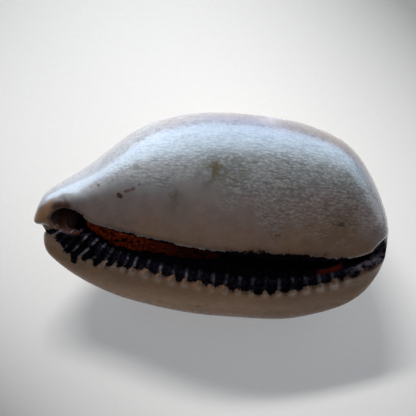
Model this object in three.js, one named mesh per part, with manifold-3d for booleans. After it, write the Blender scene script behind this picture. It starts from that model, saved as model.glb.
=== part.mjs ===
// A large cowrie shell lying on the side of its back, with a dried deposit lodged in its opening.
// Units are millimetres. The shell is shaped in its own frame first: x runs from the front (siphon)
// tip to the back tip, y from the columella side to the outer lip, z from the toothed base to the back.
// It is then turned to the way it lies at rest, with +Z up.
import * as THREE from "three";
import { mergeVertices } from "three/addons/utils/BufferGeometryUtils.js";
import Module from "manifold-3d";

const wasm = await Module();
wasm.setup();

// ---- Driving dimensions ----
const LENGTH = 75;
const HALF = LENGTH / 2;

// Profiles of the outside, each with nine values evenly spaced from the front tip to the back tip.
// A cross-section is a lopsided oval; these scale it, and it shrinks to a point at each tip.
const CENTRE_LINE = [0.8, 1.3, 2.2, 2.8, 2.6, 2.3, 1.7, 0.3, 0];
const BASE_LEVEL = [1.8, 1.5, 0.8, 0.2, 0, 0.2, 0.8, 1.8, 2.6];
const COLUMELLA_WIDTH = [11, 14, 20.5, 22.6, 23.2, 24.2, 25.8, 27.8, 25];
const OUTER_LIP_WIDTH = [23, 24.5, 25, 24.3, 24.3, 25, 28, 32, 38];
const BACK_HEIGHT = [13.5, 15.5, 20.5, 22, 22.7, 23, 24.3, 25, 25];
const BASE_DEPTH = [4.5, 7.5, 12, 15, 16, 16.2, 15.5, 13, 9];
const FULLNESS = 1.8; // how quickly one side's radius gives way to the other's across the middle

// The hollow inside, as fractions of the outside's radii: thin over the back, thick at base and tips.
const CHAMBER = { tips: 0.8, columella: 0.9, lip: 0.88, back: 0.93, base: 0.6 };

// The slit along the base: where its two walls stand, and how high it reaches, front to back.
const COLUMELLA_WALL = [-3.6, -2.4, -1.2, -1.35, -1.4, -1.1, -0.4, 0.2, -3.2];
const OUTER_LIP_WALL = [-1.5, 0.2, 5, 5.3, 5.3, 5.8, 5.9, 4.6, 0];
const SLIT_ROOF = [7.5, 7.5, 8.5, 9.5, 10, 10, 10, 10, 11];
const SLIT_START = -29.5; // the hood closes the slit in front of this
const SLIT_OVERSHOOT = 3; // the slit's cutter runs this far past the back tip
const BELOW_BASE = -5;

// Hollows at the two tips: an ellipsoid's centre and radii each.
const FRONT_TROUGH = { centre: [-29, -1.2, 4.6], radii: [3.5, 3, 3] };
const BACK_CANAL = { centre: [38.2, -3, 8], radii: [3.1, 2.3, 3.8] };

// The notch that parts the front tip into a hood and the end of the outer lip, wider towards the tip.
const NOTCH = {
  from: -32.6,
  to: -40,
  through: [3.3, 6],
  lean: THREE.MathUtils.degToRad(-43),
  tall: 26,
  wideAtFrom: 0.1,
  wideAtTo: 1.9,
};

// Blunt ends of the hood and of the outer lip's end, which stops short of it.
const HOOD_END = { x: -36.8, y: 2.4, turn: 0.2 };
const LIP_END_X = -34.2;

// Teeth: finer at the front of the lip, coarser along the rest.
const FINE_TEETH = 7;
const FINE_PITCH = 1.8;
const COARSE_TEETH = 16;
const COARSE_PITCH = 2.78;
const FIRST_TOOTH_X = -27;
const LIP_TOOTH = { wide: 0.62, across: 2.3, deep: 2.1, stand: 0.9 };
const COLUMELLA_TOOTH = { wide: 0.55, across: 1.3, deep: 1.5, stand: 0.5 };
const FRONT_FAN = 0.75; // turn of the foremost tooth, in radians, easing to none by the middle
const BACK_FAN = -0.5;

// The dried deposit in the slit's front half.
const DEPOSIT_X = [-25.5, 3];
const DEPOSIT_Z = [4.9, 7.6];
const PIECE_GAP = 0.3;

// How it lies: turned about its long axis, onto a small worn flat.
const REST_TURN = THREE.MathUtils.degToRad(-131.5);
const FLAT_DEPTH = 0.4;

const FACETS = { around: 52, along: 40, chamberAround: 24, chamberAlong: 16, slit: 36 };

// ---- Shared helpers ----

// A profile's value at station s, from -1 at the front tip to 1 at the back tip (a Catmull-Rom curve).
function along(profile, s) {
  const last = profile.length - 1;
  const t = THREE.MathUtils.clamp((s + 1) / 2, 0, 1) * last;
  const i = Math.min(Math.floor(t), last - 1);
  const f = t - i;
  const before = i > 0 ? profile[i - 1] : 2 * profile[0] - profile[1];
  const after = i + 2 <= last ? profile[i + 2] : 2 * profile[last] - profile[last - 1];
  const a = profile[i];
  const b = profile[i + 1];
  const bend = 2 * before - 5 * a + 4 * b - after + f * (3 * (a - b) + after - before);
  return a + 0.5 * f * (b - before + f * bend);
}

// A radius that goes smoothly from low on the negative side to high on the positive side.
function sided(low, high, side) {
  return (low + high) / 2 + ((high - low) / 2) * Math.tanh(FULLNESS * side);
}

// A point of the unit sphere carried to the shell's outside, or to its chamber when scaled by sizes.
const OUTSIDE = { tips: 1, columella: 1, lip: 1, back: 1, base: 1 };
function shellPoint(unit, sizes) {
  const x = HALF * sizes.tips * unit.x;
  const s = x / HALF;
  const columella = sizes.columella * along(COLUMELLA_WIDTH, s);
  const lip = sizes.lip * along(OUTER_LIP_WIDTH, s);
  const depth = along(BASE_DEPTH, s);
  const y = along(CENTRE_LINE, s) + unit.y * sided(columella, lip, unit.y);
  const radius = sided(sizes.base * depth, sizes.back * along(BACK_HEIGHT, s), unit.z);
  return new THREE.Vector3(x, y, along(BASE_LEVEL, s) + depth + unit.z * radius);
}

// Moves every vertex of a geometry by a function of its position.
function moveVertices(geometry, place) {
  const position = geometry.getAttribute("position");
  const vertex = new THREE.Vector3();
  for (let i = 0; i < position.count; i += 1) {
    vertex.fromBufferAttribute(position, i);
    const moved = place(vertex);
    position.setXYZ(i, moved.x, moved.y, moved.z);
  }
  return geometry;
}

function toSolid(geometry) {
  geometry.deleteAttribute("normal");
  geometry.deleteAttribute("uv");
  const merged = mergeVertices(geometry, 1e-4);
  const solid = new wasm.Manifold(
    new wasm.Mesh({
      numProp: 3,
      vertProperties: new Float32Array(merged.getAttribute("position").array),
      triVerts: new Uint32Array(merged.index.array),
    }),
  );
  return solid;
}

function toGeometry(solid) {
  const mesh = solid.getMesh();
  const geometry = new THREE.BufferGeometry();
  geometry.setAttribute("position", new THREE.BufferAttribute(mesh.vertProperties, 3));
  geometry.setIndex(new THREE.BufferAttribute(mesh.triVerts, 1));
  const flat = geometry.toNonIndexed();
  flat.computeVertexNormals();
  return flat;
}

// A unit sphere with its poles on the x axis.
function poledSphere(around, lengthwise) {
  return new THREE.SphereGeometry(1, around, lengthwise).rotateZ(Math.PI / 2);
}

function ellipsoid({ centre, radii }, around, lengthwise) {
  return toSolid(poledSphere(around, lengthwise).scale(...radii).translate(...centre));
}

// ---- The shell's features, each a solid in the shell's own frame ----

function outside() {
  const sphere = poledSphere(FACETS.around, FACETS.along);
  return toSolid(moveVertices(sphere, (unit) => shellPoint(unit, OUTSIDE)));
}

function chamber() {
  const sphere = poledSphere(FACETS.chamberAround, FACETS.chamberAlong);
  return toSolid(moveVertices(sphere, (unit) => shellPoint(unit, CHAMBER)));
}

// A curved blade between the slit's two walls; gap narrows it on both sides.
function blade(from, to, low, high, gap, steps) {
  const box = new THREE.BoxGeometry(1, 1, 1, steps, 1, 1);
  const place = (corner) => {
    const x = THREE.MathUtils.lerp(from, to, corner.x + 0.5);
    const s = x / HALF;
    const nearWall = along(COLUMELLA_WALL, s) + gap;
    const farWall = along(OUTER_LIP_WALL, s) - gap;
    const y = THREE.MathUtils.lerp(nearWall, farWall, corner.y + 0.5);
    return new THREE.Vector3(x, y, THREE.MathUtils.lerp(low(s), high(s), corner.z + 0.5));
  };
  return toSolid(moveVertices(box, place));
}

function slit() {
  const to = HALF + SLIT_OVERSHOOT;
  return blade(SLIT_START, to, () => BELOW_BASE, (s) => along(SLIT_ROOF, s), 0, FACETS.slit);
}

// A leaning wedge through the front tip.
function notch() {
  const box = new THREE.BoxGeometry(1, 1, 1);
  const place = (corner) => {
    const wide = THREE.MathUtils.lerp(NOTCH.wideAtTo, NOTCH.wideAtFrom, corner.x + 0.5);
    const x = THREE.MathUtils.lerp(NOTCH.to, NOTCH.from, corner.x + 0.5);
    return new THREE.Vector3(x, corner.y * wide, corner.z * NOTCH.tall);
  };
  const wedge = moveVertices(box, place);
  wedge.rotateX(NOTCH.lean).translate(0, ...NOTCH.through);
  return toSolid(wedge);
}

function hoodEnd() {
  const block = new THREE.BoxGeometry(10, 40, 60).translate(-5, 0, 0);
  return toSolid(block.rotateZ(HOOD_END.turn).translate(HOOD_END.x, HOOD_END.y, 0));
}

// Cuts only on the outer lip's side of the notch.
function lipEnd() {
  const block = new THREE.BoxGeometry(10, 30, 60).translate(-5, 15, 0);
  return toSolid(block.rotateX(NOTCH.lean).translate(LIP_END_X, ...NOTCH.through));
}

// Height of the outside's base at a station, on the line where the slit runs.
function baseHeight(s) {
  const depth = along(BASE_DEPTH, s);
  return along(BASE_LEVEL, s) + depth * (1 - Math.sqrt(Math.max(0, 1 - s * s)));
}

function toothStations() {
  const stations = [];
  let x = FIRST_TOOTH_X;
  for (let i = 0; i < FINE_TEETH + COARSE_TEETH; i += 1) {
    stations.push(x);
    x += i < FINE_TEETH ? FINE_PITCH : COARSE_PITCH;
  }
  return stations;
}

// One tooth: a rounded bar over the edge of a wall, standing into the slit.
function tooth(x, wallProfile, inward, size) {
  const s = x / HALF;
  const fan = s < 0 ? FRONT_FAN * s * s : BACK_FAN * s * s;
  const bar = new THREE.SphereGeometry(1, 6, 4).scale(size.wide, size.across, size.deep);
  bar.rotateZ(inward * fan);
  const wall = along(wallProfile, s);
  const y = wall + inward * (size.stand - size.across);
  bar.translate(x, y, baseHeight(s) + size.deep * 0.85);
  return toSolid(bar);
}

function teeth() {
  const stations = toothStations();
  const onLip = stations.map((x) => tooth(x, OUTER_LIP_WALL, -1, LIP_TOOTH));
  const onColumella = stations
    .filter((x) => x > -20)
    .map((x) => tooth(x, COLUMELLA_WALL, 1, COLUMELLA_TOOTH));
  return [...onLip, ...onColumella];
}

function wholeShell() {
  let solid = outside();
  const hollows = [FRONT_TROUGH, BACK_CANAL].map((hollow) => ellipsoid(hollow, 16, 12));
  for (const cut of [chamber(), slit(), notch(), hoodEnd(), lipEnd(), ...hollows]) {
    solid = solid.subtract(cut);
  }
  for (const bar of teeth()) {
    solid = solid.add(bar);
  }
  return solid;
}

// The deposit: a lump across the slit, thinner towards both ends.
function deposit() {
  const [from, to] = DEPOSIT_X;
  const [low, high] = DEPOSIT_Z;
  const middle = (low + high) / 2;
  const swell = (s) => {
    const t = (s * HALF - from) / (to - from);
    return 0.35 + 0.65 * Math.sqrt(Math.max(0, 4 * t * (1 - t)));
  };
  const floor = (s) => middle - (middle - low) * swell(s);
  const roof = (s) => middle + (high - middle) * swell(s);
  return blade(from, to, floor, roof, PIECE_GAP, 14);
}

// ---- Laying it down ----

const resting = new THREE.Matrix4().makeRotationX(REST_TURN);

function layDown(solid) {
  return toSolid(toGeometry(solid).applyMatrix4(resting));
}

// A block under the shell that grinds the lowest point to a small flat.
function flatCutter(lowest) {
  const top = lowest + FLAT_DEPTH;
  const block = new THREE.BoxGeometry(LENGTH, LENGTH, LENGTH).translate(0, 0, top - HALF);
  return toSolid(block);
}

const lyingShell = layDown(wholeShell());
const lowestPoint = lyingShell.boundingBox().min[2];
const groundShell = lyingShell.subtract(flatCutter(lowestPoint));
const lyingDeposit = layDown(deposit());

const shell = new THREE.Mesh(
  toGeometry(groundShell),
  new THREE.MeshStandardMaterial({ color: 0x7a6350, roughness: 0.22, metalness: 0 }),
);
shell.name = "shell";

const driedDeposit = new THREE.Mesh(
  toGeometry(lyingDeposit),
  new THREE.MeshStandardMaterial({ color: 0x8a3d12, roughness: 0.9, metalness: 0 }),
);
driedDeposit.name = "dried_deposit";

// The origin is under the middle of the shell's box, at the level that it rests on.
const cowrie = new THREE.Group();
cowrie.add(shell, driedDeposit);
const box = groundShell.boundingBox();
cowrie.position.set(
  -(box.min[0] + box.max[0]) / 2,
  -(box.min[1] + box.max[1]) / 2,
  -box.min[2],
);

const root = new THREE.Group();
root.add(cowrie);

export default root;
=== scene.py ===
"""A large cowrie shell lying on its back, with a dry orange deposit lodged in its opening."""

import math

import bpy
import numpy as np
from mathutils import Matrix, Vector


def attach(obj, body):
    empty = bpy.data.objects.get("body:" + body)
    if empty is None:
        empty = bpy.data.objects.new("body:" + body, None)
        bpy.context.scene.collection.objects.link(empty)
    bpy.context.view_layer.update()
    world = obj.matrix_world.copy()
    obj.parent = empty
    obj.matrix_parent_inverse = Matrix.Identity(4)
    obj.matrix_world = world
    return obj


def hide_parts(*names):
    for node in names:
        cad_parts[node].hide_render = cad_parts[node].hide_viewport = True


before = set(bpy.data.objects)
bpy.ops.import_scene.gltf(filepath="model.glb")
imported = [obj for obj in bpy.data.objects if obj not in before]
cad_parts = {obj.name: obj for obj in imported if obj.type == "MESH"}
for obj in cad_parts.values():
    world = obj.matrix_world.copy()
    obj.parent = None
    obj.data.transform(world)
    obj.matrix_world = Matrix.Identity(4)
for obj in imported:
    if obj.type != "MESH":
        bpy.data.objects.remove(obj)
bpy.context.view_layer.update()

# ---- The shell ----
# One piece of hard lime that the animal grew: a rounded back, rolled inwards into two lips that face
# each other along the base. The living mantle laid enamel over it in layers, so every edge is rounded
# and glossy. Teeth ridge both lips, a canal leaves at each tip, and dark dirt has dried in the slit.

# Its sizes are in its own frame, in millimetres: x from the front (siphon) tip to the back tip, y from
# the columella side to the outer lip, z from the base to the back. A profile's nine values are evenly
# spaced from tip to tip, and a part of the whole size scales the chamber.
MM = 0.001
HALF = 37.5
CENTRE_LINE = [0.8, 1.3, 2.2, 2.8, 2.6, 2.3, 1.7, 0.3, 0]
BASE_LEVEL = [1.8, 1.5, 0.8, 0.2, 0, 0.2, 0.8, 1.8, 2.6]
COLUMELLA_WIDTH = [11, 14, 20.5, 22.6, 23.2, 24.2, 25.8, 27.8, 25]
OUTER_LIP_WIDTH = [23, 24.5, 25, 24.3, 24.3, 25, 28, 32, 38]
BACK_HEIGHT = [13.5, 15.5, 20.5, 22, 22.7, 23, 24.3, 25, 25]
BASE_DEPTH = [4.5, 7.5, 12, 15, 16, 16.2, 15.5, 13, 9]
FULLNESS = 1.8
OUTSIDE = dict(tips=1, columella=1, lip=1, back=1, base=1)
CHAMBER = dict(tips=0.8, columella=0.9, lip=0.88, back=0.93, base=0.6)
COLUMELLA_WALL = [-3.6, -2.4, -1.2, -1.35, -1.4, -1.1, -0.4, 0.2, -3.2]
OUTER_LIP_WALL = [-1.5, 0.2, 5, 5.3, 5.3, 5.8, 5.9, 4.6, 0]
SLIT_ROOF = [7.5, 7.5, 8.5, 9.5, 10, 10, 10, 10, 11]
SLIT_START = -29.5
LIP_ROUNDING = [0.5, 0.9, 2.6, 3.0, 3.2, 3.2, 3, 2.2, 1.4]
FRONT_TROUGH = dict(centre=np.array([-29, -1.2, 4.6]), radii=np.array([3.5, 3, 3]))
BACK_CANAL = dict(centre=np.array([38.2, -3, 8]), radii=np.array([3.1, 2.3, 3.8]))
NOTCH_POINT = np.array([3.3, 6.0])
NOTCH_LEAN = math.radians(43)
NOTCH_START, NOTCH_HALF, NOTCH_TAPER = -32.6, 0.05, 0.12
HOOD_END_X, HOOD_END_Y, HOOD_END_SLOPE = -36.8, 2.4, 0.2
LIP_END_X = -34.2
FINE_TEETH, FINE_PITCH, COARSE_PITCH, FIRST_TOOTH_X = 7, 1.8, 2.78, -27
TOOTH_HEIGHT, COLUMELLA_TOOTH_HEIGHT = 0.8, 0.12
SHELL_FACE = 0.55 * MM
# Small swellings and a dent, each a place, a reach and a height.
SWELLINGS = [((-28.0, -7.2, 5.5), 1.7, 0.45), ((-30.6, -6.0, 5.6), 0.7, -0.3), ((34.4, -8.8, 9), 2.4, 0.45)]


def along(profile, s):
    """A profile's value at station s, -1 at the front tip to 1 at the back tip (a Catmull-Rom curve)."""
    knots = np.array([2 * profile[0] - profile[1], *profile, 2 * profile[-1] - profile[-2]], float)
    last = len(profile) - 1
    t = np.clip((s + 1) / 2, 0, 1) * last
    i = np.minimum(t.astype(int), last - 1)
    f = t - i
    before, a, b, after = knots[i], knots[i + 1], knots[i + 2], knots[i + 3]
    bend = 2 * before - 5 * a + 4 * b - after + f * (3 * (a - b) + after - before)
    return a + 0.5 * f * (b - before + f * bend)


def sided(low, high, side):
    """A radius that goes smoothly from low on the negative side to high on the positive side."""
    return (low + high) / 2 + (high - low) / 2 * np.tanh(FULLNESS * side)


def unit_side(offset, low, high):
    """The unit-sphere coordinate whose sided radius reaches offset, and the local scale there."""
    unit = offset / ((low + high) / 2)
    for _ in range(7):
        unit = offset / sided(low, high, unit)
    fold = (high - low) / 2 * FULLNESS * unit / np.cosh(FULLNESS * unit) ** 2
    return unit, sided(low, high, unit) + fold


def oval_gap(p, sizes):
    """How far points are outside (+) or inside (-) the lopsided egg, in about millimetres."""
    s = p[:, 0] / HALF
    depth = along(BASE_DEPTH, s)
    v, v_scale = unit_side(p[:, 1] - along(CENTRE_LINE, s),
                           sizes["columella"] * along(COLUMELLA_WIDTH, s),
                           sizes["lip"] * along(OUTER_LIP_WIDTH, s))
    w, w_scale = unit_side(p[:, 2] - along(BASE_LEVEL, s) - depth,
                           sizes["base"] * depth, sizes["back"] * along(BACK_HEIGHT, s))
    u = s / sizes["tips"]
    radius = np.sqrt(u ** 2 + v ** 2 + w ** 2) + 1e-6
    slope = np.sqrt((u / HALF) ** 2 + (v / v_scale) ** 2 + (w / w_scale) ** 2) / radius + 1e-6
    return (radius - 1) / slope


def ellipsoid_gap(p, centre, radii):
    q = (p - centre) / radii
    reach = np.linalg.norm(q, axis=1) + 1e-6
    return reach * (reach - 1) / (np.linalg.norm(q / radii, axis=1) + 1e-6)


def soft_min(a, b, blend):
    h = np.maximum(blend - np.abs(a - b), 0) / blend
    return np.minimum(a, b) - h * h * blend / 4


def soft_max(a, b, blend):
    return -soft_min(-a, -b, blend)


def smooth_step(low, high, x):
    t = np.clip((x - low) / (high - low), 0, 1)
    return t * t * (3 - 2 * t)


def notch_side(p):
    """Distance from the leaning plane of the front notch, + towards the outer lip."""
    return ((p[:, 1] - NOTCH_POINT[0]) * math.cos(NOTCH_LEAN)
            - (p[:, 2] - NOTCH_POINT[1]) * math.sin(NOTCH_LEAN))


def slit_gap(p):
    """Outside (+) or inside (-) the slit, with the canals that it ends in."""
    s = p[:, 0] / HALF
    near, far = along(COLUMELLA_WALL, s), along(OUTER_LIP_WALL, s)
    across = np.abs(p[:, 1] - (near + far) / 2) - (far - near) / 2
    gap = soft_max(across, p[:, 2] - along(SLIT_ROOF, s), 1.5)
    gap = soft_max(gap, SLIT_START - p[:, 0], 1.5)     # the hood closes it in front
    gap = soft_min(gap, ellipsoid_gap(p, **FRONT_TROUGH), 1.5)
    return soft_min(gap, ellipsoid_gap(p, **BACK_CANAL), 1.5)


def notch_gap(p):
    ahead = NOTCH_START - p[:, 0]
    return np.maximum(np.abs(notch_side(p)) - NOTCH_HALF - NOTCH_TAPER * ahead, -ahead)


def tooth_index(x):
    turn = FIRST_TOOTH_X + FINE_TEETH * FINE_PITCH
    return np.where(x < turn, (x - FIRST_TOOTH_X) / FINE_PITCH, FINE_TEETH + (x - turn) / COARSE_PITCH)


def shell_gap(p, teeth=1.0):
    """Outside (+) or inside (-) the finished shell, and the values that its colours are laid by:
    lip (below 0 in the slit), side (1 on the outer lip), crest (1 along a tooth), gap of the plain egg."""
    s = p[:, 0] / HALF
    outer = oval_gap(p, OUTSIDE)
    slit = slit_gap(p)
    void = soft_min(soft_min(slit, notch_gap(p), 0.8), oval_gap(p, CHAMBER), 3)
    body = soft_max(outer, -void, along(LIP_ROUNDING, s))
    hood_end = p[:, 0] - HOOD_END_X + HOOD_END_SLOPE * (p[:, 1] - HOOD_END_Y)
    lip_end = soft_max(p[:, 0] - LIP_END_X, -notch_side(p), 0.8)
    body = soft_max(body, -soft_min(hood_end, lip_end, 0.5), 1.6)
    for place, reach, height in SWELLINGS:
        body = body - height * np.exp(-((p - np.array(place)) ** 2).sum(1) / reach ** 2)
    lip = outer + slit
    side = smooth_step(-1.2, 1.2, p[:, 1] - (along(COLUMELLA_WALL, s) + along(OUTER_LIP_WALL, s)) / 2)
    slant = np.where(s < 0, -0.9 * s * s, 0.45 * s * s)
    phase = tooth_index(p[:, 0] - slant * np.clip(lip, -4, 6) * side)
    crest = (0.5 + 0.5 * np.cos(2 * np.pi * phase)) ** 1.3
    run = smooth_step(-28.4, -27.0, p[:, 0]) * (1 - smooth_step(28.5, 32, p[:, 0]))
    lip_teeth = side * smooth_step(-7, -4, lip) * (1 - smooth_step(0.2, 4.6, lip))
    columella_teeth = (1 - side) * smooth_step(-5, -2, lip) * (1 - smooth_step(-0.5, 1.5, lip))
    columella_teeth *= smooth_step(-22, -14, p[:, 0])
    outside = 1 - smooth_step(6, 9, p[:, 2])
    height = (TOOTH_HEIGHT * lip_teeth + COLUMELLA_TOOTH_HEIGHT * columella_teeth) * run * outside
    return body - teeth * height * (crest - 0.3), lip, side, crest, outer


def settle(p, rounds, teeth):
    """Moves points to the finished surface by Newton steps along its slope."""
    step = 0.02
    for _ in range(rounds):
        value = shell_gap(p, teeth)[0]
        slope = np.stack([(shell_gap(p + step * axis, teeth)[0] - value) / step for axis in np.eye(3)], 1)
        size = (slope ** 2).sum(1) + 1e-6
        move = (value / size)[:, None] * slope
        length = np.linalg.norm(move, axis=1)[:, None]
        p = p - move * np.minimum(1, 0.8 / (length + 1e-9))
    return p


# The shell is shaped in its own frame. It lies turned about its long axis, moved so that its box is
# centred and its lowest spot is on the ground.
REST_TURN = np.array(Matrix.Rotation(math.radians(-131.5), 3, "X"))
REST_PLACE = np.array([-0.2384, -11.6194, 35.5405])


def read_points(mesh):
    flat = np.empty(len(mesh.vertices) * 3)
    mesh.vertices.foreach_get("co", flat)
    return flat.reshape(-1, 3)


def to_own_frame(metres):
    return (metres / MM - REST_PLACE) @ REST_TURN


def to_row_frame(own):
    return (own @ REST_TURN.T + REST_PLACE) * MM


def settle_piece(piece, rounds, teeth):
    row = to_row_frame(settle(to_own_frame(read_points(piece.data)), rounds, teeth))
    row[:, 2] = np.maximum(row[:, 2], 0)     # the small flat that it lies on
    piece.data.vertices.foreach_set("co", row.ravel())
    piece.data.update()


def apply_modifier(piece, kind, **settings):
    bpy.context.view_layer.objects.active = piece
    modifier = piece.modifiers.new(kind.title(), kind)
    for name, value in settings.items():
        setattr(modifier, name, value)
    bpy.ops.object.modifier_apply(modifier=modifier.name)


def copy_cad_node(node, name):
    """A copy of a CAD node with its faceted vertices merged, free to be shaped further."""
    bpy.ops.object.select_all(action="DESELECT")
    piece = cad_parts[node].copy()
    piece.data = piece.data.copy()
    piece.name = name
    piece.parent = None
    for key in list(piece.keys()):
        del piece[key]
    piece.data.materials.clear()
    bpy.context.scene.collection.objects.link(piece)
    piece.select_set(True)
    bpy.context.view_layer.objects.active = piece
    bpy.ops.object.mode_set(mode="EDIT")
    bpy.ops.mesh.select_all(action="SELECT")
    bpy.ops.mesh.remove_doubles(threshold=1e-7)
    bpy.ops.object.mode_set(mode="OBJECT")
    return piece


shell = copy_cad_node("shell", "cowrie_shell")
apply_modifier(shell, "REMESH", mode="VOXEL", voxel_size=SHELL_FACE, adaptivity=0)
apply_modifier(shell, "SMOOTH", factor=0.5, iterations=6)
settle_piece(shell, 3, 0)

# Finer faces along the slit, where the teeth are raised.
own = to_own_frame(read_points(shell.data))
s = own[:, 0] / HALF
middle = (along(COLUMELLA_WALL, s) + along(OUTER_LIP_WALL, s)) / 2
near_slit = (own[:, 1] - middle < 9.5) & (own[:, 1] - middle > -5) & (own[:, 2] < 7.2)
bpy.ops.object.mode_set(mode="EDIT")
bpy.ops.mesh.select_all(action="DESELECT")
bpy.ops.object.mode_set(mode="OBJECT")
shell.data.vertices.foreach_set("select", near_slit)
bpy.ops.object.mode_set(mode="EDIT")
bpy.ops.mesh.subdivide(number_cuts=1, smoothness=0)
bpy.ops.object.mode_set(mode="OBJECT")
for _ in range(3):
    apply_modifier(shell, "SMOOTH", factor=0.5, iterations=2)
    settle_piece(shell, 2, 1)
bpy.ops.object.shade_smooth()

# Marks on the enamel, each a place and a reach: dark specks, reddish smears, wide olive-brown blotches
# and two tiny painted glints, which are painted highlights. The stain's reach out of the slit follows a
# profile along the shell.
DARK_MARKS = [((-19.5, -10.3, 4.9), 0.5), ((-19.1, -10.2, 4.8), 0.5), ((-18.8, -10.0, 4.6), 0.45),
              ((-23.8, -10.4, 6.7), 0.35), ((13.5, -7.9, 2.6), 0.4), ((14.2, -8.0, 2.8), 0.35),
              ((0.1, 15.7, 2.3), 0.45), ((0.9, 15.9, 2.4), 0.35), ((7.7, -3.6, 0.8), 0.5)]
RED_MARKS = [((-18.0, -11.2, 5.1), 0.5), ((-17.3, -11.7, 5.2), 0.45), ((-16.5, -12.2, 5.4), 0.5),
             ((-15.4, -13.2, 5.9), 0.45), ((26.2, -10.3, 6.3), 0.6), ((26.9, -10.0, 6.2), 0.4)]
BLOTCHES = [((0.4, -19.3, 10.1), 3.4), ((3.2, -18.7, 8.8), 2.6), ((-1.0, -18.2, 8.4), 2.6),
            ((-2.6, -16.2, 6.3), 2.4), ((-7.4, -11.3, 3.4), 2.6), ((-8.4, -13.6, 4.9), 2.0),
            ((26.2, -10.8, 6.5), 2.2)]
PAINTED_GLINTS = [((-27.8, -7.0, 5.4), 0.45), ((-27.2, -6.8, 5.1), 0.35)]
STAIN_IN_GROOVES = [2.0, 8.2, 3.2, 1.2, 1.4, 2.5, 2.2, 0.9, 0.8]
STAIN_ON_CRESTS = [0.5, 6.6, 1.8, 0.1, 0.4, 1.5, 1.1, 0.1, 0.3]

# The enamel's colours. Those round the shell go from the middle of the back (0) over the outer lip and
# the slit (0.5) to the columella side, the flank and the back again (1).
# Its darker mid flank stops are painted shade, and its bluer upper flank stops painted window light.
ROUND_THE_SHELL_AND_SHADE = [
    (0.10, (0.34, 0.29, 0.25)), (0.25, (0.26, 0.165, 0.105)), (0.38, (0.22, 0.117, 0.062)),
    (0.45, (0.38, 0.207, 0.104)), (0.50, (0.28, 0.162, 0.093)), (0.54, (0.245, 0.153, 0.104)),
    (0.57, (0.200, 0.146, 0.128)), (0.60, (0.172, 0.146, 0.142)), (0.635, (0.148, 0.148, 0.153)),
    (0.67, (0.150, 0.156, 0.160)), (0.72, (0.165, 0.178, 0.195)), (0.77, (0.21, 0.230, 0.27)),
    (0.80, (0.215, 0.215, 0.28)), (0.85, (0.26, 0.195, 0.19)), (0.88, (0.32, 0.25, 0.225)),
    (0.91, (0.34, 0.29, 0.25))]
WHITE_PATCH = (0.38, 0.38, 0.44)
TAN_BACK = (0.20, 0.155, 0.125)
WHITE_FRONT_AND_SHEEN = (0.45, 0.455, 0.48)
DARKER_LIP_AND_SHADE = (0.05, 0.022, 0.010)
PALE_END_HIGHLIGHT = (0.33, 0.30, 0.31)
WOVEN_SPECK = (0.42, 0.43, 0.40)
WOVEN_STREAK = (0.05, 0.05, 0.042)
OLIVE = (0.075, 0.060, 0.034)
GLINT = (0.85, 0.87, 0.92)
TAN_RIM = (0.30, 0.170, 0.085)
RIM_DIRT = (0.062, 0.028, 0.018)
RED_SMEAR = (0.075, 0.024, 0.015)
DARK_SPECK = (0.035, 0.015, 0.008)
DIRT_EDGE = (0.052, 0.024, 0.021)
DIRT_AND_SHADE, GREYER_DIRT_AND_SHADE = (0.0025, 0.002, 0.0035), (0.012, 0.010, 0.016)
PURPLE_DIRT = (0.06, 0.045, 0.058)
TROUGH_BROWN_AND_SHADE, TROUGH_PURPLE_AND_SHADE = (0.030, 0.011, 0.006), (0.038, 0.026, 0.031)
INSIDE_PAINTED_SHADE = (0.001, 0.0008, 0.0013)
TOOTH_TOP_AND_HIGHLIGHT = (0.135, 0.125, 0.155)
RUST_PATCH = (0.024, 0.003, 0.002)


def spots(p, places):
    total = np.zeros(len(p))
    for place, reach in places:
        total += np.exp(-((p - np.array(place)) ** 2).sum(1) / reach ** 2)
    return total


def store(piece, name, values):
    """Keeps one value or one vector for each vertex, for the material to read."""
    kind = "FLOAT_VECTOR" if values.ndim == 2 else "FLOAT"
    layer = piece.data.attributes.new(name, kind, "POINT")
    layer.data.foreach_set("vector" if values.ndim == 2 else "value", values.astype(np.float32).ravel())


own = to_own_frame(read_points(shell.data))
s = own[:, 0] / HALF
lip, side, crest, outer = shell_gap(own)[1:]
step = 0.05
outward = np.stack([(oval_gap(own + step * axis, OUTSIDE) - outer) / step for axis in np.eye(3)], 1)
reach = along(STAIN_IN_GROOVES, s) * (1 - crest) + along(STAIN_ON_CRESTS, s) * crest
on_columella = 1.2 + 1.6 * smooth_step(0, 10, own[:, 0]) * (1 - smooth_step(24, 30, own[:, 0]))
on_columella -= 1.4 * smooth_step(29, 33, own[:, 0]) + 1.0 * (1 - smooth_step(-25, -18, own[:, 0]))
reach = side * reach + (1 - side) * on_columella
reach += side * 0.9 * np.sin(own[:, 0] * 0.71 + 1.3) * np.sin(own[:, 0] * 0.37) * (1 - crest)
at_tip = 1 - smooth_step(-31.5, -28.2, own[:, 0])
reach = reach * (1 - at_tip) + (3.3 * smooth_step(-0.35, 0.15, notch_side(own)) - 0.5) * at_tip
store(shell, "growth", own)
store(shell, "way_round", outward / np.linalg.norm(outward, axis=1)[:, None])
store(shell, "lip", lip)
store(shell, "crest", crest * side)
store(shell, "side", side)
store(shell, "stain_and_shade", reach - lip)
store(shell, "inside", smooth_step(1.5, 4.0, -outer))
store(shell, "mark", spots(own, DARK_MARKS))
store(shell, "red_mark", spots(own, RED_MARKS))
store(shell, "blotch", spots(own, BLOTCHES))
store(shell, "painted_glint", spots(own, PAINTED_GLINTS))


# Node helpers.
def add(tree, kind, inputs=None, **settings):
    """Adds a node; an input is given a number, a colour or another node's output."""
    node = tree.nodes.new(kind)
    for name, setting in settings.items():
        setattr(node, name, setting)
    for name, given in (inputs or {}).items():
        if isinstance(given, bpy.types.NodeSocket):
            tree.links.new(given, node.inputs[name])
        else:
            node.inputs[name].default_value = given
    return node


def calc(tree, operation, a, b=0.0, c=0.0):
    return add(tree, "ShaderNodeMath", {0: a, 1: b, 2: c}, operation=operation).outputs[0]


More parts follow.
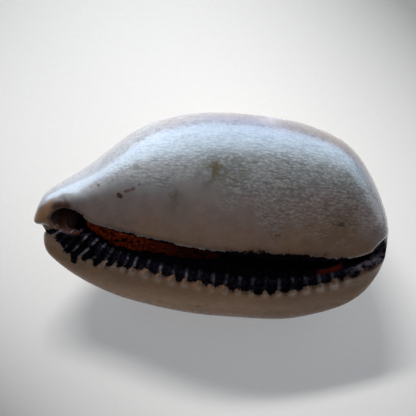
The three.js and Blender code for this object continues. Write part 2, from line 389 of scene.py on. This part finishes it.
def fade(tree, value, low, high, from_value=0.0, to_value=1.0):
    """Goes smoothly from from_value at low to to_value at high."""
    inputs = {"Value": value, "From Min": low, "From Max": high, "To Min": from_value, "To Max": to_value}
    return add(tree, "ShaderNodeMapRange", inputs, interpolation_type="SMOOTHSTEP").outputs["Result"]


def blend(tree, factor, a, b, blend_type="MIX"):
    node = add(tree, "ShaderNodeMix", {0: factor, 6: a, 7: b}, data_type="RGBA", blend_type=blend_type)
    return node.outputs[2]


def both(tree, *masks):
    """The product of masks: where all of them hold."""
    product = masks[0]
    for mask in masks[1:]:
        product = calc(tree, "MULTIPLY", product, mask)
    return product


def other_than(tree, mask):
    return calc(tree, "SUBTRACT", 1.0, mask)


def lay(tree, colour, pigment, mask, strength=1.0):
    """Lays a pigment over a colour where the mask says, at most to the strength."""
    return blend(tree, calc(tree, "MULTIPLY", mask, strength), colour, (*pigment, 1))


def noise(tree, vector, scale, detail=2.0, roughness=0.5, distortion=0.0):
    inputs = {"Vector": vector, "Scale": scale, "Detail": detail, "Roughness": roughness,
              "Distortion": distortion}
    return add(tree, "ShaderNodeTexNoise", inputs).outputs["Fac"]


def ramp(tree, value, stops):
    node = add(tree, "ShaderNodeValToRGB", {"Fac": value})
    while len(node.color_ramp.elements) < len(stops):
        node.color_ramp.elements.new(0.5)
    for element, (place, colour) in zip(node.color_ramp.elements, stops):
        element.position = place
        element.color = (*colour, 1)
    return node.outputs["Color"]


def attribute(tree, name, output="Fac"):
    return add(tree, "ShaderNodeAttribute", attribute_name=name).outputs[output]


# A ragged edge for dirt that creeps out of the slit: used on the shell, where it also lays the
# painted shade down the slit, and on the deposit.
ragged = bpy.data.node_groups.new("ragged_edge_mask", "ShaderNodeTree")
ragged.interface.new_socket("Growth", in_out="INPUT", socket_type="NodeSocketVector")
ragged.interface.new_socket("Distance", in_out="INPUT", socket_type="NodeSocketFloat")
ragged.interface.new_socket("Raggedness", in_out="INPUT", socket_type="NodeSocketFloat")
ragged.interface.new_socket("Mask", in_out="OUTPUT", socket_type="NodeSocketFloat")
ragged.interface.new_socket("Halo", in_out="OUTPUT", socket_type="NodeSocketFloat")
group_in = ragged.nodes.new("NodeGroupInput")
group_out = ragged.nodes.new("NodeGroupOutput")
coarse = calc(ragged, "SUBTRACT", noise(ragged, group_in.outputs["Growth"], 0.55, 2.0, 0.5), 0.5)
fine = calc(ragged, "SUBTRACT", noise(ragged, group_in.outputs["Growth"], 2.2, 4.0, 0.65), 0.5)
torn = calc(ragged, "ADD", calc(ragged, "MULTIPLY", coarse, 3.2), calc(ragged, "MULTIPLY", fine, 2.2))
torn = calc(ragged, "MULTIPLY_ADD", torn, group_in.outputs["Raggedness"], group_in.outputs["Distance"])
ragged.links.new(fade(ragged, torn, -0.12, 0.15), group_out.inputs["Mask"])
ragged.links.new(fade(ragged, torn, -1.6, 0.4), group_out.inputs["Halo"])

enamel = bpy.data.materials.new("enamel")
enamel.use_nodes = True
tree = enamel.node_tree
growth = attribute(tree, "growth", "Vector")
x_now = add(tree, "ShaderNodeSeparateXYZ", {"Vector": growth}).outputs["X"]
lip_now = attribute(tree, "lip")
side_now = attribute(tree, "side")
crest_now = attribute(tree, "crest")
inside = fade(tree, attribute(tree, "inside"), 0.05, 0.5)

# Girth is the angle round the shell in degrees, 0 on the base and growing over the columella side.
way_round = add(tree, "ShaderNodeSeparateXYZ", {"Vector": attribute(tree, "way_round", "Vector")})
girth_now = calc(tree, "ARCTAN2", calc(tree, "MULTIPLY", way_round.outputs["Y"], -1.0),
                 calc(tree, "MULTIPLY", way_round.outputs["Z"], -1.0))
girth_now = calc(tree, "DEGREES", girth_now, 0.0)

# Two clouds blur every edge: a wide one for the big areas, and a fine one for mottling and marks.
cloud = noise(tree, growth, 0.11, 3.0, 0.55)
cloud_shift = calc(tree, "SUBTRACT", cloud, 0.5)
fine_cloud = noise(tree, growth, 0.45, 4.0, 0.6)

# Ground colour goes round the shell: tan base, cream lips, greyer flank, pale pinkish back. The mid
# flank is painted darker as painted shade, and the upper flank bluer as painted window light.
wander = calc(tree, "MULTIPLY_ADD", cloud_shift, 26.0, girth_now)
wander = calc(tree, "ADD", wander, fade(tree, x_now, -22.0, 8.0, 9.0, 0.0))
colour = ramp(tree, calc(tree, "MULTIPLY_ADD", wander, 1 / 360, 0.5), ROUND_THE_SHELL_AND_SHADE)

# Along the back, white and pinkish-tan patches follow each other. Every patch that starts on the
# columella side fades out before the middle of the back, where the two sides meet.
near_side = fade(tree, girth_now, 168.0, 130.0)
wavy_x = calc(tree, "MULTIPLY_ADD", cloud_shift, 14.0, x_now)
band = noise(tree, add(tree, "ShaderNodeCombineXYZ", {"X": wavy_x}).outputs[0], 0.16, 1.0, 0.5)
high_up = both(tree, fade(tree, girth_now, 95.0, 125.0), near_side)
pale = both(tree, fade(tree, band, 0.46, 0.62), high_up)
colour = lay(tree, colour, WHITE_PATCH, pale, 0.7)

# The back is tan towards its broad end.
tan = both(tree, fade(tree, x_now, 8.0, 20.0), fade(tree, wander, 98.0, 110.0), near_side)
colour = lay(tree, colour, TAN_BACK, tan, 0.75)

# The front end is whiter, from the flank up: partly its own colour and partly painted sheen.
front = both(tree, fade(tree, x_now, 4.0, -26.0), fade(tree, girth_now, 25.0, 52.0), near_side)
colour = lay(tree, colour, WHITE_FRONT_AND_SHEEN, front, 0.75)

# The outer lip is painted darker towards the back, partly as painted shade, and the swelling that ends
# the columella side there carries a painted pale highlight.
lip_darker_and_shade = both(tree, fade(tree, x_now, 4.0, 24.0), fade(tree, girth_now, -1.0, -9.0),
              fade(tree, girth_now, -150.0, -80.0))
colour = lay(tree, colour, DARKER_LIP_AND_SHADE, lip_darker_and_shade, 0.33)
end_highlight = both(tree, fade(tree, x_now, 28.0, 33.0), fade(tree, girth_now, 4.0, 12.0), near_side)
colour = lay(tree, colour, PALE_END_HIGHLIGHT, end_highlight, 0.4)

# Woven specks of the older layer show above the callus, whose edge wanders.
WEAVE_TURN = (0.5, 0.0, 0.55)
turned = add(tree, "ShaderNodeMapping", {"Vector": growth, "Rotation": WEAVE_TURN,
                                         "Scale": (0.6, 1.0, 1.0)}).outputs[0]
drawn_out = add(tree, "ShaderNodeMapping", {"Vector": growth, "Rotation": WEAVE_TURN,
                                            "Scale": (0.35, 2.2, 2.2)}).outputs[0]
specks = add(tree, "ShaderNodeTexVoronoi", {"Vector": turned, "Scale": 1.9, "Randomness": 1.0})
dots = fade(tree, specks.outputs["Distance"], 0.75, 0.1)
weave = noise(tree, drawn_out, 1.0, 3.0, 0.6)
callus_edge = calc(tree, "MULTIPLY_ADD", cloud_shift, 60.0, girth_now)
callus_edge = calc(tree, "ADD", callus_edge, fade(tree, x_now, -5.0, 28.0, 10.0, 35.0))
older = both(tree, fade(tree, callus_edge, 44.0, 58.0), fade(tree, girth_now, 118.0, 100.0),
             fade(tree, x_now, -30.0, -18.0, 0.3, 1.0))
dot_mask = both(tree, dots, older, fade(tree, weave, 0.3, 0.62, 0.35, 1.0))
colour = lay(tree, colour, WOVEN_SPECK, dot_mask, 0.30)
streaks = both(tree, other_than(tree, dots), fade(tree, weave, 0.56, 0.40), older)
colour = lay(tree, colour, WOVEN_STREAK, streaks, 0.38)

# Blotches, mottling and the two painted glints.
blotch = both(tree, attribute(tree, "blotch"), fade(tree, fine_cloud, 0.36, 0.62))
colour = lay(tree, colour, OLIVE, blotch, 0.55)
mottle = fade(tree, fine_cloud, 0.3, 0.7, 0.9, 1.08)
grey = add(tree, "ShaderNodeCombineXYZ", {"X": mottle, "Y": mottle, "Z": mottle}).outputs[0]
colour = blend(tree, 1.0, colour, grey, "MULTIPLY")
colour = lay(tree, colour, GLINT, fade(tree, attribute(tree, "painted_glint"), 0.3, 0.8), 0.7)

# Tan rims of both front tips, with dirt on the trough's rim.
hood_rim = both(tree, fade(tree, x_now, -31.8, -33.2), fade(tree, lip_now, 2.9, 2.2))
prong = both(tree, fade(tree, x_now, -26.0, -32.0), fade(tree, side_now, 0.4, 0.6))
colour = lay(tree, colour, TAN_RIM, calc(tree, "MAXIMUM", hood_rim, prong), 0.85)
rim_dirt = both(tree, fade(tree, x_now, -28.0, -29.5), fade(tree, lip_now, 2.6, 1.2),
                fade(tree, x_now, -33.6, -32.4), fade(tree, fine_cloud, 0.38, 0.55, 0.35, 1.0))
colour = lay(tree, colour, RIM_DIRT, rim_dirt)

# Reddish smears and dark specks.
red = calc(tree, "MULTIPLY_ADD", fine_cloud, 1.2, attribute(tree, "red_mark"))
colour = lay(tree, colour, RED_SMEAR, fade(tree, red, 0.9, 1.5), 0.75)
marks = calc(tree, "MULTIPLY_ADD", calc(tree, "SUBTRACT", fine_cloud, 0.5), 1.2, attribute(tree, "mark"))
marks = fade(tree, marks, 0.4, 0.7)
colour = lay(tree, colour, DARK_SPECK, marks, 0.85)

# The dirt in the slit and between the teeth, with a brown halo; down the slit its near black is also
# painted shade. It is more torn at the front teeth.
ragged_cover = add(tree, "ShaderNodeGroup", node_tree=ragged)
tree.links.new(growth, ragged_cover.inputs["Growth"])
tree.links.new(attribute(tree, "stain_and_shade"), ragged_cover.inputs["Distance"])
torn_front = both(tree, fade(tree, x_now, -14.0, -22.0), fade(tree, side_now, 0.3, 0.7))
tree.links.new(calc(tree, "MULTIPLY_ADD", torn_front, 0.7, 0.9), ragged_cover.inputs["Raggedness"])
halo = both(tree, ragged_cover.outputs["Halo"], fade(tree, crest_now, 0.2, 0.8, 1.0, 0.5),
            fade(tree, side_now, 0.3, 0.7, 0.6, 0.95))
colour = lay(tree, colour, DIRT_EDGE, halo)

# The dirt itself, which down the slit and in the front trough is also painted shade: near black, purple
# in the back canal, brown and purple in the front trough.
black = blend(tree, fade(tree, noise(tree, growth, 1.5, 3.0, 0.6), 0.45, 0.7), (*DIRT_AND_SHADE, 1), (*GREYER_DIRT_AND_SHADE, 1))
purple = both(tree, fade(tree, x_now, 29.0, 33.0), fade(tree, noise(tree, growth, 0.9, 3.0, 0.6), 0.42, 0.56))
black = lay(tree, black, PURPLE_DIRT, purple)
in_trough = both(tree, fade(tree, x_now, -25.5, -27.5), fade(tree, lip_now, 0.5, -0.4))
# Both trough colours are darkened as painted shade in the recess.
trough = blend(tree, fade(tree, noise(tree, growth, 0.45, 2.0, 0.5), 0.45, 0.62),
               (*TROUGH_BROWN_AND_SHADE, 1), (*TROUGH_PURPLE_AND_SHADE, 1))
black = blend(tree, in_trough, black, trough)
# The chamber's inside is painted near black: painted shade.
black = lay(tree, black, INSIDE_PAINTED_SHADE, both(tree, inside, other_than(tree, in_trough)))

# The teeth's tops are paler in places, more so at the front: partly rubbed clean and partly painted
# highlight.
crest_patches = fade(tree, noise(tree, growth, 0.42, 2.0, 0.5), 0.42, 0.66, 0.05, 1.0)
tooth_top_and_highlight = both(tree, fade(tree, crest_now, 0.62, 1.0), fade(tree, lip_now, -3.2, -0.6),
                 other_than(tree, inside), crest_patches, fade(tree, x_now, -8.0, -16.0, 0.55, 1.0))
black = lay(tree, black, TOOTH_TOP_AND_HIGHLIGHT, tooth_top_and_highlight)

# A smaller rusty patch on the slit's far wall, near the back end.
from_patch = calc(tree, "ABSOLUTE", calc(tree, "SUBTRACT", x_now, 26.4))
patch = both(tree, fade(tree, from_patch, 3.0, 1.8), fade(tree, lip_now, -1.8, -3.2),
             fade(tree, fine_cloud, 0.38, 0.5))
black = lay(tree, black, RUST_PATCH, patch)
dirt_and_shade_cover = calc(tree, "MAXIMUM", ragged_cover.outputs["Mask"], inside)
colour = blend(tree, dirt_and_shade_cover, colour, black)

principled = tree.nodes["Principled BSDF"]
tree.links.new(colour, principled.inputs["Base Color"])
rough = fade(tree, fine_cloud, 0.3, 0.7, 0.24, 0.36)
tree.links.new(rough, principled.inputs["Roughness"])

# Gloss is lost under dirt, painted shade and marks, and the outer lip is worn to a dull sheen.
clean = other_than(tree, both(tree, dirt_and_shade_cover, other_than(tree, tooth_top_and_highlight)))
clean = both(tree, clean, calc(tree, "MULTIPLY_ADD", marks, -0.8, 1.0))
unworn = calc(tree, "MAXIMUM", fade(tree, girth_now, -3.0, -12.0, 1.0, 0.2),
              fade(tree, girth_now, -90.0, -150.0))
glossy = both(tree, clean, unworn)
tree.links.new(calc(tree, "MULTIPLY", glossy, 0.55), principled.inputs["Coat Weight"])
tree.links.new(fade(tree, glossy, 0.0, 1.0, 0.0, 0.5), principled.inputs["Specular IOR Level"])
principled.inputs["Coat Roughness"].default_value = 0.06

# Faint relief of the specks, the mottling and fine grain.
relief = calc(tree, "MULTIPLY_ADD", dot_mask, 0.6, calc(tree, "MULTIPLY", fine_cloud, 0.5))
relief = calc(tree, "MULTIPLY_ADD", noise(tree, growth, 3.0, 3.0, 0.6), 0.25, relief)
bump = add(tree, "ShaderNodeBump", {"Height": relief, "Strength": 0.35, "Distance": 0.12 * MM})
tree.links.new(bump.outputs["Normal"], principled.inputs["Normal"])
tree.links.new(bump.outputs["Normal"], principled.inputs["Coat Normal"])
shell.data.materials.append(enamel)
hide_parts("shell")
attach(shell, "root")

# ---- The dried deposit ----
# A crust of rust-orange matter that dried across the front half of the slit: crumbly and lumpy, with
# black dirt over its lower edge and in its cracks, and painted shade that makes it dimmer and redder
# towards the middle of the shell.
CRUST_FACE = 0.3 * MM
LUMP_SIZE = 1.3 * MM
LUMP_HEIGHT = 0.9 * MM
RUST = [(0.42, (0.016, 0.004, 0.002)), (0.52, (0.10, 0.012, 0.003)), (0.63, (0.22, 0.022, 0.003)),
        (0.8, (0.38, 0.052, 0.005))]
SHADED_RUST, DEEPEST_SHADED_RUST = (0.085, 0.010, 0.005), (0.03, 0.004, 0.003)
CRUST_DIRT = (0.005, 0.004, 0.004)

crust = copy_cad_node("dried_deposit", "dried_crust")
apply_modifier(crust, "REMESH", mode="VOXEL", voxel_size=CRUST_FACE, adaptivity=0)
apply_modifier(crust, "SMOOTH", factor=0.5, iterations=4)
lumps = bpy.data.textures.new("lumps", "CLOUDS")
lumps.noise_scale = LUMP_SIZE
lumps.noise_depth = 3
apply_modifier(crust, "DISPLACE", texture=lumps, texture_coords="LOCAL", strength=LUMP_HEIGHT, mid_level=0.62)
bpy.ops.object.shade_smooth()
store(crust, "growth", to_own_frame(read_points(crust.data)))

rust = bpy.data.materials.new("rust_crust")
rust.use_nodes = True
tree = rust.node_tree
growth = attribute(tree, "growth", "Vector")
axes = add(tree, "ShaderNodeSeparateXYZ", {"Vector": growth})
grains = add(tree, "ShaderNodeTexVoronoi", {"Vector": growth, "Scale": 1.5, "Randomness": 1.0})
grain_tone = add(tree, "ShaderNodeSeparateColor", {"Color": grains.outputs["Color"]}).outputs["Red"]
crumble = noise(tree, growth, 1.1, 4.0, 0.65)
tone = calc(tree, "MULTIPLY_ADD", grain_tone, 0.3, calc(tree, "MULTIPLY", crumble, 0.9))
colour = ramp(tree, tone, RUST)
# Painted shade: dimmer and redder towards the middle of the shell.
colour = lay(tree, colour, SHADED_RUST, fade(tree, axes.outputs["X"], -16.0, -8.0), 0.75)
colour = lay(tree, colour, DEEPEST_SHADED_RUST, fade(tree, axes.outputs["X"], -9.0, -3.0), 0.75)

# Dirt covers its lower edge and fills its cracks.
ragged_cover = add(tree, "ShaderNodeGroup", node_tree=ragged)
tree.links.new(growth, ragged_cover.inputs["Growth"])
lower_edge = calc(tree, "SUBTRACT", axes.outputs["Y"], fade(tree, axes.outputs["X"], -24.0, -17.0, 2.4, 4.6))
tree.links.new(lower_edge, ragged_cover.inputs["Distance"])
ragged_cover.inputs["Raggedness"].default_value = 1.3
cracks = fade(tree, noise(tree, growth, 0.7, 3.0, 0.7, 0.5), 0.44, 0.40)
colour = lay(tree, colour, CRUST_DIRT, calc(tree, "MAXIMUM", ragged_cover.outputs["Mask"], cracks))

principled = tree.nodes["Principled BSDF"]
tree.links.new(colour, principled.inputs["Base Color"])
principled.inputs["Roughness"].default_value = 0.8
principled.inputs["Specular IOR Level"].default_value = 0.05
grit = calc(tree, "ADD", crumble, calc(tree, "MULTIPLY", grains.outputs["Distance"], -0.8))
bump = add(tree, "ShaderNodeBump", {"Height": grit, "Strength": 0.9, "Distance": 0.35 * MM})
tree.links.new(bump.outputs["Normal"], principled.inputs["Normal"])
crust.data.materials.append(rust)
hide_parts("dried_deposit")
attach(crust, "root")

# ---- The table top ----
# A sheet of smooth, matt, off-white card, pressed from wood pulp. It is painted darker away from the
# middle, a painted fall-off of the light: most of all across, and a little endways.
CARD = (0.935, 0.92, 0.90)
CARD_TURN = math.radians(-53.8)
LIT_REACH = 62 * MM
DARKER_ACROSS, DARKER_ENDWAYS, DARKEST = 0.50, 0.19, 0.35

bpy.ops.object.select_all(action="DESELECT")
bpy.ops.mesh.primitive_plane_add(size=3)
table = bpy.context.object
table.name = "table_top"
card = bpy.data.materials.new("card")
card.use_nodes = True
tree = card.node_tree
place = add(tree, "ShaderNodeTexCoord").outputs["Object"]
turned = add(tree, "ShaderNodeMapping", {"Vector": place, "Rotation": (0.0, 0.0, CARD_TURN)}).outputs[0]
axes = add(tree, "ShaderNodeSeparateXYZ", {"Vector": turned})
shade = 1.0
for axis, darker in (("X", DARKER_ACROSS), ("Y", DARKER_ENDWAYS)):
    away = calc(tree, "ABSOLUTE", calc(tree, "MULTIPLY", axes.outputs[axis], 1 / LIT_REACH))
    shade = calc(tree, "SUBTRACT", shade, calc(tree, "MULTIPLY", calc(tree, "POWER", away, 3.0), darker))
shade = calc(tree, "MAXIMUM", shade, DARKEST)
fibre = noise(tree, place, 900.0, 2.0, 0.5)
shade = calc(tree, "MULTIPLY", shade, fade(tree, fibre, 0.3, 0.7, 0.985, 1.0))
grey = add(tree, "ShaderNodeCombineXYZ", {"X": shade, "Y": shade, "Z": shade}).outputs[0]
colour = blend(tree, 1.0, (*CARD, 1), grey, "MULTIPLY")
principled = tree.nodes["Principled BSDF"]
tree.links.new(colour, principled.inputs["Base Color"])
principled.inputs["Roughness"].default_value = 0.9
principled.inputs["Specular IOR Level"].default_value = 0.2
table.data.materials.append(card)

# ---- Light ----
# A dim room, a tall soft window low behind the shell, a small lamp higher up that casts the shadow,
# and two bright panes close by that only show as reflections in the gloss.
world = bpy.data.worlds.new("room")
bpy.context.scene.world = world
world.use_nodes = True
world.node_tree.nodes["Background"].inputs["Color"].default_value = (0.92, 0.95, 1, 1)
world.node_tree.nodes["Background"].inputs["Strength"].default_value = 0.21
world.cycles_visibility.glossy = False


def add_softbox(name, azimuth, elevation, distance, size, power, colour):
    """A rectangular light that faces the shell and isn't seen in its gloss."""
    az, el = math.radians(azimuth), math.radians(elevation)
    direction = Vector((math.sin(az) * math.cos(el), math.cos(az) * math.cos(el), math.sin(el)))
    lamp = bpy.data.lights.new(name, "AREA")
    lamp.shape = "RECTANGLE"
    lamp.size, lamp.size_y = size
    lamp.energy = power
    lamp.color = colour
    holder = bpy.data.objects.new(name, lamp)
    holder.location = direction * distance
    holder.rotation_euler = direction.to_track_quat("Z", "Y").to_euler()
    holder.visible_glossy = False
    bpy.context.scene.collection.objects.link(holder)
    return holder


window = add_softbox("window", 4, 14, 0.62, (0.5, 0.38), 4.9, (0.88, 0.94, 1.0))
window.data.use_shadow = False
add_softbox("lamp", -24, 52.5, 0.8, (0.26, 0.05), 3.75, (0.99, 0.975, 0.96))


def add_pane(name, place, azimuth, size, strength, colour):
    """A glowing upright pane, weaker towards its top and its right, that only shows as a reflection."""
    bpy.ops.mesh.primitive_plane_add(size=1)
    pane = bpy.context.object
    pane.name = name
    pane.location = place
    pane.scale = (size[0], size[1], 1)
    pane.rotation_euler = (math.radians(90), 0, -math.radians(azimuth))
    for kind in ("visible_camera", "visible_diffuse", "visible_shadow", "visible_transmission"):
        setattr(pane, kind, False)
    glow = bpy.data.materials.new(name)
    glow.use_nodes = True
    tree = glow.node_tree
    tree.nodes.remove(tree.nodes["Principled BSDF"])
    place_on = add(tree, "ShaderNodeTexCoord").outputs["Object"]
    on_pane = add(tree, "ShaderNodeSeparateXYZ", {"Vector": place_on})
    x_on, y_on = on_pane.outputs["X"], on_pane.outputs["Y"]
    high = calc(tree, "SUBTRACT", y_on, fade(tree, x_on, 0.02, -0.18, 0.0, 0.28))
    level = calc(tree, "MULTIPLY", fade(tree, high, 0.2, -0.3), strength)
    level = calc(tree, "MULTIPLY", level, fade(tree, x_on, -0.2, 0.18, 0.9, 0.38))
    emission = add(tree, "ShaderNodeEmission", {"Color": (*colour, 1), "Strength": level})
    tree.links.new(emission.outputs[0], tree.nodes["Material Output"].inputs["Surface"])
    pane.data.materials.append(glow)


add_pane("window_pane", (0.01, 0.075, 0.086), 0, (0.42, 0.16), 5.8, (0.57, 0.78, 1.0))
add_pane("side_pane", (0.12, -0.01, 0.046), 90, (0.12, 0.08), 1.1, (0.8, 0.88, 1.0))

# ---- Camera ----
# It looks down almost straight at the toothed side, tilted a little and rolled.
VIEW_TILT = math.radians(84.5)
VIEW_ROLL = math.radians(8.8)
VIEW_DISTANCE = 350 * MM
AIM_POINT = np.array([0, 0, 15.0])     # in the shell's own frame
AIM_SHIFT = (-0.85, 0.91)
lens = bpy.data.cameras.new("camera")
lens.sensor_width = 36
lens.lens = 143
lens.clip_start = 0.01
camera = bpy.data.objects.new("camera", lens)
bpy.context.scene.collection.objects.link(camera)
right = Vector((1, 0, 0))
up = Vector((0, math.sin(VIEW_TILT), math.cos(VIEW_TILT)))
back = right.cross(up)
cam_right = right * math.cos(VIEW_ROLL) + up * math.sin(VIEW_ROLL)
cam_up = up * math.cos(VIEW_ROLL) - right * math.sin(VIEW_ROLL)
aim = Vector(to_row_frame(AIM_POINT)) + (cam_right * AIM_SHIFT[0] + cam_up * AIM_SHIFT[1]) * MM
camera.matrix_world = Matrix.Translation(aim + back * VIEW_DISTANCE) @ Matrix(
    (cam_right, cam_up, back)).transposed().to_4x4()
bpy.context.scene.camera = camera
bpy.context.scene.view_settings.view_transform = "Standard"
